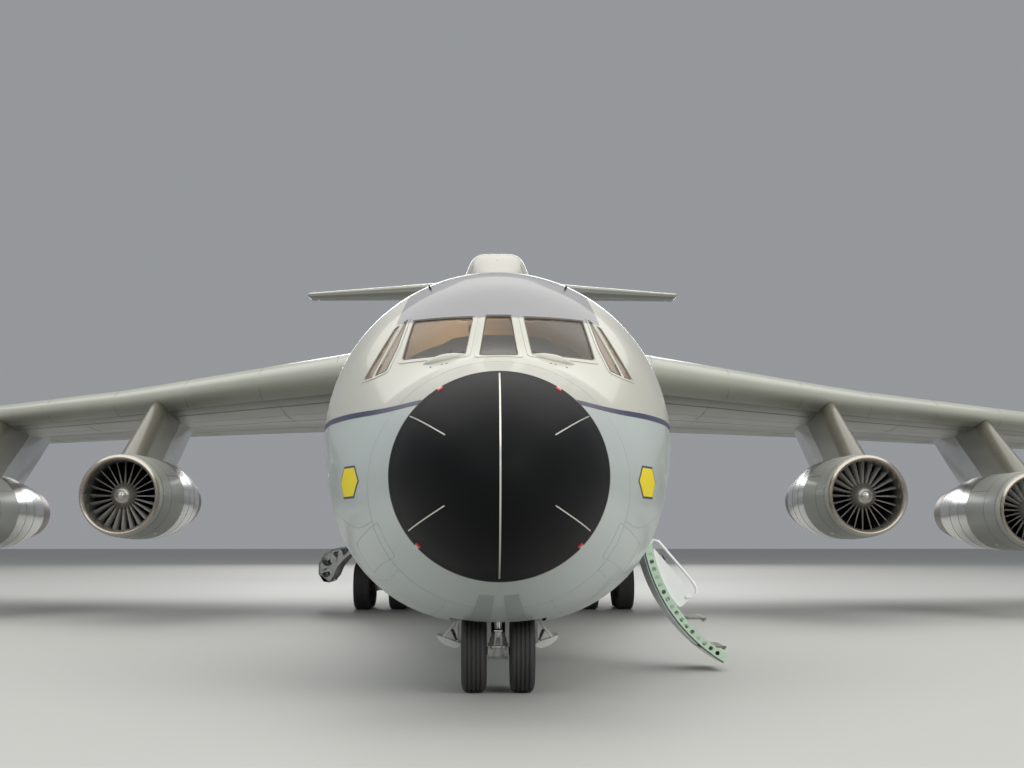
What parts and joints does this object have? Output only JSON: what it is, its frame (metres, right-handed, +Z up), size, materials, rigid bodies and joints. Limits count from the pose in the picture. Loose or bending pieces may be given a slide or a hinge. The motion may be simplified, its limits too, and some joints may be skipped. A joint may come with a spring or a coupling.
{
  "type": "half-scale model of a four-engine military transport plane",
  "caption": "Half-scale model of a high-wing, T-tail jet transport plane parked on its gear, with working doors, ramp, steering, wheels, fans and control surfaces.",
  "frame": {"origin": "on the ground under the middle of the overall length and span", "axes": "-Y to the nose, +X to the left wing, +Z up"},
  "size_m": [24.37, 25.645, 5.9742],
  "materials": {
    "paint_upper": "satin",
    "paint_wing": "satin",
    "radome_black": "matte",
    "bare_metal": "brushed",
    "engine_metal": "satin",
    "gear_paint": "gloss",
    "tyre_rubber": "matte",
    "window_glass": "clear",
    "interior_paint": "matte",
    "primer_green": "matte",
    "seat_fabric": "woven"
  },
  "bodies": {
    "airframe": {"radome": "radome_black", "nose_section": "paint_upper", "windshield_centre": "window_glass", "windshield_left": "window_glass", "windshield_right": "window_glass", "side_window_left_front": "window_glass", "side_window_left_rear": "window_glass", "side_window_right_front": "window_glass", "side_window_right_rear": "window_glass", "flight_deck": "interior_paint", "pilot_seat": "seat_fabric", "copilot_seat": "seat_fabric", "forward_fuselage": "paint_upper", "centre_fuselage": "paint_upper", "receptacle_fairing": "paint_upper", "aft_fuselage": "paint_upper", "tail_section": "paint_upper", "cargo_floor": "interior_paint", "wing_left": "paint_wing", "wing_right": "paint_wing", "fin": "paint_wing", "tailplane": "paint_wing", "gear_pod_left": "paint_upper", "gear_pod_right": "paint_upper", "main_gear_leg_left": "gear_paint", "main_gear_leg_right": "gear_paint", "nose_gear_leg": "gear_paint", "nose_gear_door_left": "gear_paint", "nose_gear_door_right": "gear_paint", "cowl_left_inboard": "bare_metal", "engine_left_inboard": "engine_metal", "pylon_left_inboard": "paint_wing", "cowl_left_outboard": "bare_metal", "engine_left_outboard": "engine_metal", "pylon_left_outboard": "paint_wing", "cowl_right_inboard": "bare_metal", "engine_right_inboard": "engine_metal", "pylon_right_inboard": "paint_wing", "cowl_right_outboard": "bare_metal", "engine_right_outboard": "engine_metal", "pylon_right_outboard": "paint_wing"},
    "fan_left_inboard": {"fan_left_inboard": "engine_metal"},
    "fan_left_outboard": {"fan_left_outboard": "engine_metal"},
    "main_wheels_left_front": {"main_wheels_left_front": "tyre_rubber"},
    "main_wheels_left_rear": {"main_wheels_left_rear": "tyre_rubber"},
    "fan_right_inboard": {"fan_right_inboard": "engine_metal"},
    "fan_right_outboard": {"fan_right_outboard": "engine_metal"},
    "main_wheels_right_front": {"main_wheels_right_front": "tyre_rubber"},
    "main_wheels_right_rear": {"main_wheels_right_rear": "tyre_rubber"},
    "nose_fork": {"nose_gear_fork": "gear_paint"},
    "nose_wheels": {"nose_wheels": "tyre_rubber"},
    "crew_door": {"crew_door": "primer_green"},
    "cargo_ramp": {"cargo_ramp": "paint_upper"},
    "petal_door_left": {"petal_door_left": "paint_upper"},
    "aileron_left": {"aileron_left": "paint_wing"},
    "elevator_left": {"elevator_left": "paint_wing"},
    "petal_door_right": {"petal_door_right": "paint_upper"},
    "aileron_right": {"aileron_right": "paint_wing"},
    "elevator_right": {"elevator_right": "paint_wing"},
    "rudder": {"rudder": "paint_wing"}
  },
  "joints": [
    {"name": "fan_left_inboard_spin", "type": "hinge", "parent": "airframe", "child": "fan_left_inboard", "pos_m": [3.64, -4.11705, 1.2515], "axis": [0, 1, 0], "continuous": true},
    {"name": "fan_left_outboard_spin", "type": "hinge", "parent": "airframe", "child": "fan_left_outboard", "pos_m": [5.65, -3.11502, 1.12828], "axis": [0, 1, 0], "continuous": true},
    {"name": "main_wheels_left_front_spin", "type": "hinge", "parent": "airframe", "child": "main_wheels_left_front", "pos_m": [1.335, -1.2275, 0.27462], "axis": [1, 0, 0], "continuous": true},
    {"name": "main_wheels_left_rear_spin", "type": "hinge", "parent": "airframe", "child": "main_wheels_left_rear", "pos_m": [1.335, -0.6175, 0.27462], "axis": [1, 0, 0], "continuous": true},
    {"name": "fan_right_inboard_spin", "type": "hinge", "parent": "airframe", "child": "fan_right_inboard", "pos_m": [-3.64, -4.11705, 1.2515], "axis": [0, 1, 0], "continuous": true},
    {"name": "fan_right_outboard_spin", "type": "hinge", "parent": "airframe", "child": "fan_right_outboard", "pos_m": [-5.65, -3.11502, 1.12828], "axis": [0, 1, 0], "continuous": true},
    {"name": "main_wheels_right_front_spin", "type": "hinge", "parent": "airframe", "child": "main_wheels_right_front", "pos_m": [-1.335, -1.2275, 0.27462], "axis": [1, 0, 0], "continuous": true},
    {"name": "main_wheels_right_rear_spin", "type": "hinge", "parent": "airframe", "child": "main_wheels_right_rear", "pos_m": [-1.335, -0.6175, 0.27462], "axis": [1, 0, 0], "continuous": true},
    {"name": "nose_steer", "type": "hinge", "parent": "airframe", "child": "nose_fork", "pos_m": [0, -10.9725, 0.475], "axis": [0, 0, 1], "range_deg": [-60, 60]},
    {"name": "nose_wheels_spin", "type": "hinge", "parent": "nose_fork", "child": "nose_wheels", "pos_m": [0, -10.9725, 0.22411], "axis": [1, 0, 0], "continuous": true},
    {"name": "crew_door_hinge", "type": "hinge", "parent": "airframe", "child": "crew_door", "pos_m": [0.9, -9.4475, 0.7925], "axis": [0, -1, 0], "range_deg": [0, 135]},
    {"name": "ramp_hinge", "type": "hinge", "parent": "airframe", "child": "cargo_ramp", "pos_m": [0, 3.9775, 0.76], "axis": [-1, 0, 0], "range_deg": [0, 24]},
    {"name": "petal_door_left_hinge", "type": "hinge", "parent": "airframe", "child": "petal_door_left", "pos_m": [0.7463, 7.9, 1.69314], "axis": [0.1242, -0.9842, -0.1259], "range_deg": [0, 80]},
    {"name": "aileron_left_hinge", "type": "hinge", "parent": "airframe", "child": "aileron_left", "pos_m": [9.5, 1.55082, 2.00316], "axis": [0.9464, 0.3201, -0.0424], "range_deg": [-15, 25]},
    {"name": "elevator_left_hinge", "type": "hinge", "parent": "airframe", "child": "elevator_left", "pos_m": [1.98, 12.1636, 5.8361], "axis": [0.9824, 0.1866, 0.0014], "range_deg": [-15, 25]},
    {"name": "petal_door_right_hinge", "type": "hinge", "parent": "airframe", "child": "petal_door_right", "pos_m": [-0.7463, 7.9, 1.69314], "axis": [0.1242, 0.9842, 0.1259], "range_deg": [0, 80]},
    {"name": "aileron_right_hinge", "type": "hinge", "parent": "airframe", "child": "aileron_right", "pos_m": [-9.5, 1.55082, 2.00316], "axis": [0.9464, -0.3201, 0.0424], "range_deg": [-15, 25]},
    {"name": "elevator_right_hinge", "type": "hinge", "parent": "airframe", "child": "elevator_right", "pos_m": [-1.98, 12.1636, 5.8361], "axis": [0.9824, -0.1866, -0.0014], "range_deg": [-15, 25]},
    {"name": "rudder_hinge", "type": "hinge", "parent": "airframe", "child": "rudder", "pos_m": [0, 10.19112, 4.0625], "axis": [0, 0.3102, 0.9507], "range_deg": [-30, 30]}
  ]
}
